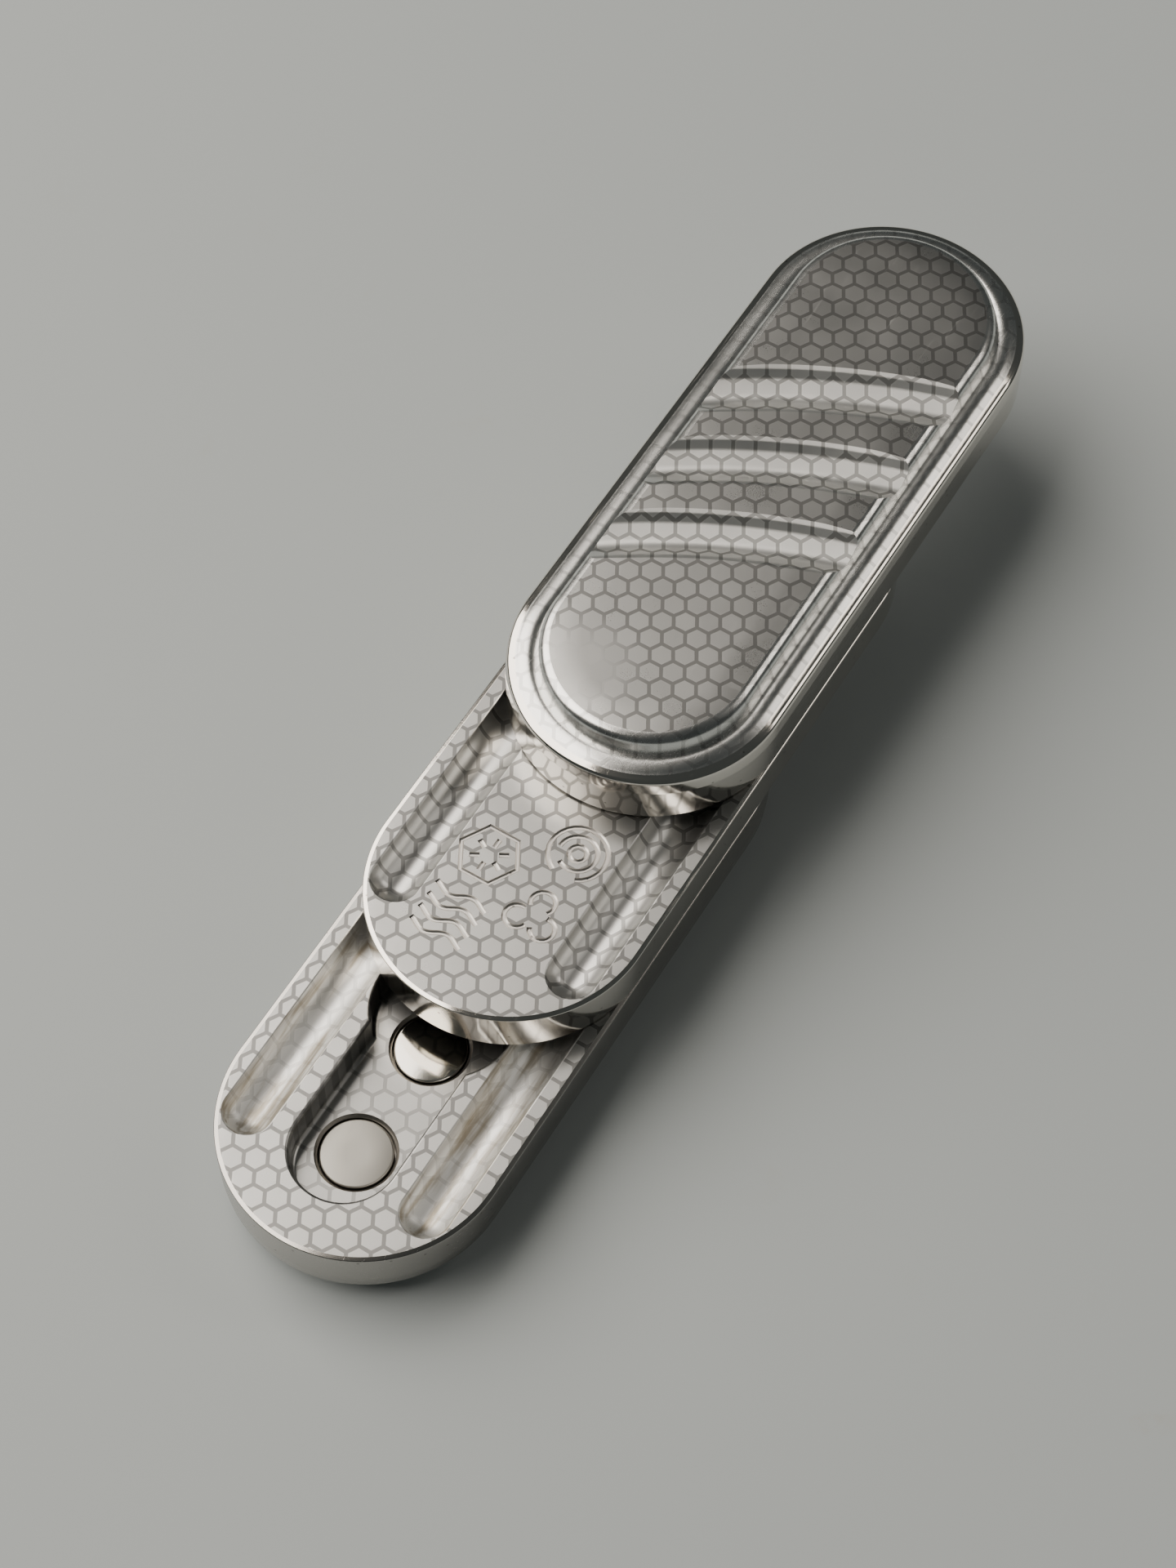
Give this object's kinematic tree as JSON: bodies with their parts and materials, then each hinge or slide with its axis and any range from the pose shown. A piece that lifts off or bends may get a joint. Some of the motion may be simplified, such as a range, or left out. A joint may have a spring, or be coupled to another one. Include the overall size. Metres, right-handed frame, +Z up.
{
  "type": "ball-track fidget slider",
  "caption": "Pocket slider of stacked obround steel plates that roll over each other on balls in long tracks, held together and clicked into place by magnets.",
  "frame": {"origin": "under the middle of the fanned-out stack's outer box, on the surface that the lower plate's pad stands on", "axes": "+Y along the plates' long axis, from the lower plate's free end towards the top plate's free end; +Z up through the stack; +X across the plates"},
  "size_m": [0.02, 0.0892, 0.0161],
  "materials": {
    "plate": "satin steel with a fine laser-etched honeycomb on its faces, polished sides and edges",
    "magnet": "nickel plated",
    "ball": "polished bearing steel"
  },
  "bodies": {
    "base": {"base_plate": "plate", "base_magnet_1": "magnet", "base_magnet_2": "magnet", "base_magnet_3": "magnet", "base_magnet_4": "magnet", "base_magnet_5": "magnet"},
    "middle": {"middle_plate": "plate", "middle_magnet_1": "magnet", "middle_magnet_2": "magnet", "middle_magnet_3": "magnet", "middle_magnet_4": "magnet", "middle_magnet_5": "magnet"},
    "top": {"top_plate": "plate", "top_magnet_1": "magnet", "top_magnet_2": "magnet", "top_magnet_3": "magnet", "top_magnet_4": "magnet", "top_magnet_5": "magnet"},
    "lower_balls": {"lower_ball_near_left": "ball", "lower_ball_near_right": "ball", "lower_ball_far_left": "ball", "lower_ball_far_right": "ball"},
    "upper_balls": {"upper_ball_near_left": "ball", "upper_ball_near_right": "ball", "upper_ball_far_left": "ball", "upper_ball_far_right": "ball"}
  },
  "joints": [
    {"name": "middle_slide", "type": "slide", "parent": "base", "child": "middle", "axis": [0, 1, 0], "range_m": [-0.036, 0]},
    {"name": "top_slide", "type": "slide", "parent": "middle", "child": "top", "axis": [0, 1, 0], "range_m": [-0.036, 0]},
    {"name": "lower_ball_roll", "type": "slide", "parent": "base", "child": "lower_balls", "axis": [0, 1, 0], "range_m": [-0.018, 0]},
    {"name": "upper_ball_roll", "type": "slide", "parent": "middle", "child": "upper_balls", "axis": [0, 1, 0], "range_m": [-0.018, 0]}
  ],
  "couplings": [
    {"joint": "lower_ball_roll", "follows": "middle_slide", "ratio": 0.5},
    {"joint": "upper_ball_roll", "follows": "top_slide", "ratio": 0.5}
  ]
}
